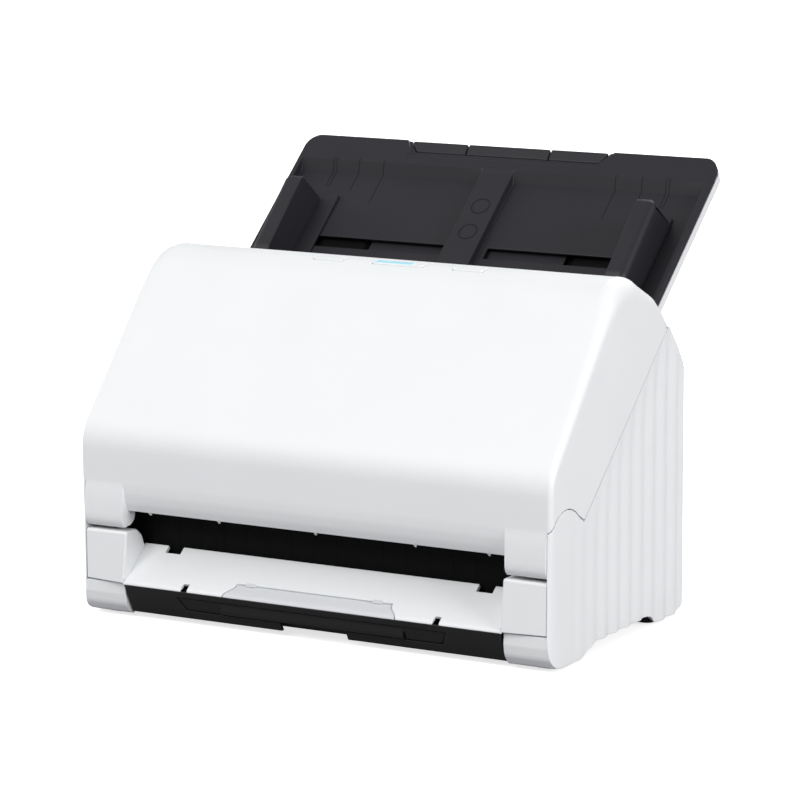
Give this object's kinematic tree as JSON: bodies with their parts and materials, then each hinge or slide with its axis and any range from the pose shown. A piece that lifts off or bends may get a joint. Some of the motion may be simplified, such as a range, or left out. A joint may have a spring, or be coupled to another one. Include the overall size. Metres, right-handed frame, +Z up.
{
  "type": "sheet fed document scanner",
  "caption": "Compact desktop document scanner: sloping feed tray with sliding paper guides, hinged front cover, roller paper path and front eject tray.",
  "frame": {"origin": "middle of the bounding box's underside, on the desk", "axes": "+X across the machine to its right as seen from the front, +Y from the front to the back, +Z up"},
  "size_m": [0.291, 0.2404, 0.2439],
  "materials": {
    "white_casing": "fine moulded white ABS, satin",
    "black_tray": "fine spark texture, satin",
    "dark_frame": "plain moulded, satin",
    "grey_rubber": "matt",
    "steel": "zinc plated",
    "gear_resin": "natural acetal",
    "scan_glass": "clear",
    "circuit_board": "solder mask",
    "lit_button": "translucent, lit from below"
  },
  "bodies": {
    "root": {"base_pan": "dark_frame", "left_side_casing": "white_casing", "right_side_casing": "white_casing", "rear_cover": "white_casing", "power_inlet": "dark_frame", "usb_port": "dark_frame", "main_board": "circuit_board", "front_left_foot": "grey_rubber", "front_right_foot": "grey_rubber", "rear_left_foot": "grey_rubber", "rear_right_foot": "grey_rubber", "front_base_panel": "dark_frame", "eject_tray": "white_casing", "lower_paper_guide": "dark_frame", "lower_scan_unit": "dark_frame", "lower_scan_glass": "scan_glass", "left_side_plate": "steel", "right_side_plate": "steel", "drive_motor": "steel", "left_hinge_pin": "steel", "right_hinge_pin": "steel", "feed_tray": "black_tray", "feed_tray_back": "white_casing"},
    "cover": {"front_cover": "white_casing", "cover_guide_frame": "dark_frame", "upper_scan_unit": "dark_frame", "upper_scan_glass": "scan_glass"},
    "latch": {"latch_bar": "steel", "left_latch_hook": "dark_frame", "right_latch_hook": "dark_frame", "release_lever": "dark_frame"},
    "power_key": {"power_button": "white_casing"},
    "start_key": {"start_button": "lit_button"},
    "stop_key": {"stop_button": "white_casing"},
    "feed_drive": {"feed_roller": "grey_rubber", "feed_gear": "gear_resin"},
    "register_drive": {"register_drive_roller": "grey_rubber", "register_gear": "gear_resin"},
    "eject_drive": {"eject_drive_roller": "grey_rubber", "eject_gear": "gear_resin"},
    "separation": {"separation_roller": "grey_rubber"},
    "register_pinch": {"register_pinch_roller": "dark_frame"},
    "eject_pinch": {"eject_pinch_roller": "dark_frame"},
    "feed_idler": {"feed_idler_gear": "gear_resin"},
    "register_idler": {"register_idler_gear": "gear_resin"},
    "centre_idler": {"centre_idler_gear": "gear_resin"},
    "eject_idler": {"eject_idler_gear": "gear_resin"},
    "pinion": {"motor_pinion": "steel"},
    "left_guide": {"left_paper_guide": "black_tray"},
    "right_guide": {"right_paper_guide": "black_tray"},
    "rack_pinion": {"guide_pinion": "gear_resin"},
    "feed_stage_one": {"feed_extension_outer": "black_tray"},
    "feed_stage_two": {"feed_extension_inner": "black_tray"},
    "eject_stage_one": {"eject_extension_outer": "dark_frame"},
    "eject_stage_two": {"eject_extension_inner": "dark_frame"},
    "stopper": {"stopper_flap": "white_casing"}
  },
  "joints": [
    {"name": "cover_hinge", "type": "hinge", "parent": "root", "child": "cover", "pos_m": [0, -0.11044, 0.058], "axis": [1, 0, 0], "range_deg": [0, 70]},
    {"name": "latch_turn", "type": "hinge", "parent": "cover", "child": "latch", "pos_m": [0, -0.00498, 0.1718], "axis": [-1, 0, 0], "range_deg": [0, 6], "stiffness_Nm_per_rad": 0.3, "springref_deg": -5.73},
    {"name": "power_press", "type": "slide", "parent": "cover", "child": "power_key", "axis": [0, 0, -1], "range_m": [0, 0.001], "stiffness_N_per_m": 400, "springref_m": -0.001},
    {"name": "start_press", "type": "slide", "parent": "cover", "child": "start_key", "axis": [0, 0, -1], "range_m": [0, 0.001], "stiffness_N_per_m": 400, "springref_m": -0.001},
    {"name": "stop_press", "type": "slide", "parent": "cover", "child": "stop_key", "axis": [0, 0, -1], "range_m": [0, 0.001], "stiffness_N_per_m": 400, "springref_m": -0.001},
    {"name": "register_spin", "type": "hinge", "parent": "root", "child": "register_drive", "pos_m": [0, -0.02303, 0.11553], "axis": [1, 0, 0], "continuous": true},
    {"name": "feed_spin", "type": "hinge", "parent": "root", "child": "feed_drive", "pos_m": [0, 0.00494, 0.13509], "axis": [1, 0, 0], "continuous": true},
    {"name": "eject_spin", "type": "hinge", "parent": "root", "child": "eject_drive", "pos_m": [0, -0.08125, 0.06668], "axis": [1, 0, 0], "continuous": true},
    {"name": "separation_spin", "type": "hinge", "parent": "cover", "child": "separation", "pos_m": [0, -0.00811, 0.15064], "axis": [1, 0, 0], "continuous": true},
    {"name": "register_pinch_spin", "type": "hinge", "parent": "cover", "child": "register_pinch", "pos_m": [0, -0.03171, 0.12587], "axis": [1, 0, 0], "continuous": true},
    {"name": "eject_pinch_spin", "type": "hinge", "parent": "cover", "child": "eject_pinch", "pos_m": [0, -0.08993, 0.07702], "axis": [1, 0, 0], "continuous": true},
    {"name": "feed_idler_spin", "type": "hinge", "parent": "root", "child": "feed_idler", "pos_m": [0, -0.00426, 0.11847], "axis": [1, 0, 0], "continuous": true},
    {"name": "register_idler_spin", "type": "hinge", "parent": "root", "child": "register_idler", "pos_m": [0, -0.02575, 0.09673], "axis": [1, 0, 0], "continuous": true},
    {"name": "centre_idler_spin", "type": "hinge", "parent": "root", "child": "centre_idler", "pos_m": [0, -0.04218, 0.07923], "axis": [1, 0, 0], "continuous": true},
    {"name": "eject_idler_spin", "type": "hinge", "parent": "root", "child": "eject_idler", "pos_m": [0, -0.06226, 0.06609], "axis": [1, 0, 0], "continuous": true},
    {"name": "motor_spin", "type": "hinge", "parent": "root", "child": "pinion", "pos_m": [0, -0.03125, 0.06621], "axis": [1, 0, 0], "continuous": true},
    {"name": "left_guide_slide", "type": "slide", "parent": "root", "child": "left_guide", "axis": [1, 0, 0], "range_m": [0, 0.083]},
    {"name": "right_guide_slide", "type": "slide", "parent": "root", "child": "right_guide", "axis": [-1, 0, 0], "range_m": [0, 0.083]},
    {"name": "guide_pinion_spin", "type": "hinge", "parent": "root", "child": "rack_pinion", "pos_m": [0, 0.05758, 0.18748], "axis": [0, -0.6428, 0.766], "range_deg": [-796, 0]},
    {"name": "feed_stage_one_slide", "type": "slide", "parent": "root", "child": "feed_stage_one", "axis": [0, 0.766, 0.6428], "range_m": [0, 0.085]},
    {"name": "feed_stage_two_slide", "type": "slide", "parent": "feed_stage_one", "child": "feed_stage_two", "axis": [0, 0.766, 0.6428], "range_m": [0, 0.075]},
    {"name": "eject_stage_one_slide", "type": "slide", "parent": "root", "child": "eject_stage_one", "axis": [0, -1, 0], "range_m": [0, 0.115]},
    {"name": "eject_stage_two_slide", "type": "slide", "parent": "eject_stage_one", "child": "eject_stage_two", "axis": [0, -1, 0], "range_m": [0, 0.11]},
    {"name": "stopper_turn", "type": "hinge", "parent": "root", "child": "stopper", "pos_m": [0, -0.11224, 0.02673], "axis": [-1, 0, 0], "range_deg": [0, 95]}
  ],
  "couplings": [
    {"joint": "feed_spin", "follows": "register_spin", "ratio": 1},
    {"joint": "eject_spin", "follows": "register_spin", "ratio": 1},
    {"joint": "feed_idler_spin", "follows": "register_spin", "ratio": -0.58333},
    {"joint": "register_idler_spin", "follows": "register_spin", "ratio": -0.58333},
    {"joint": "centre_idler_spin", "follows": "register_spin", "ratio": 0.58333},
    {"joint": "eject_idler_spin", "follows": "register_spin", "ratio": -0.58333},
    {"joint": "motor_spin", "follows": "register_spin", "ratio": -1.4},
    {"joint": "register_pinch_spin", "follows": "register_spin", "ratio": -1.129},
    {"joint": "eject_pinch_spin", "follows": "register_spin", "ratio": -1.129},
    {"joint": "right_guide_slide", "follows": "left_guide_slide", "ratio": 1},
    {"joint": "guide_pinion_spin", "follows": "left_guide_slide", "rad_per_m": -166.67}
  ]
}
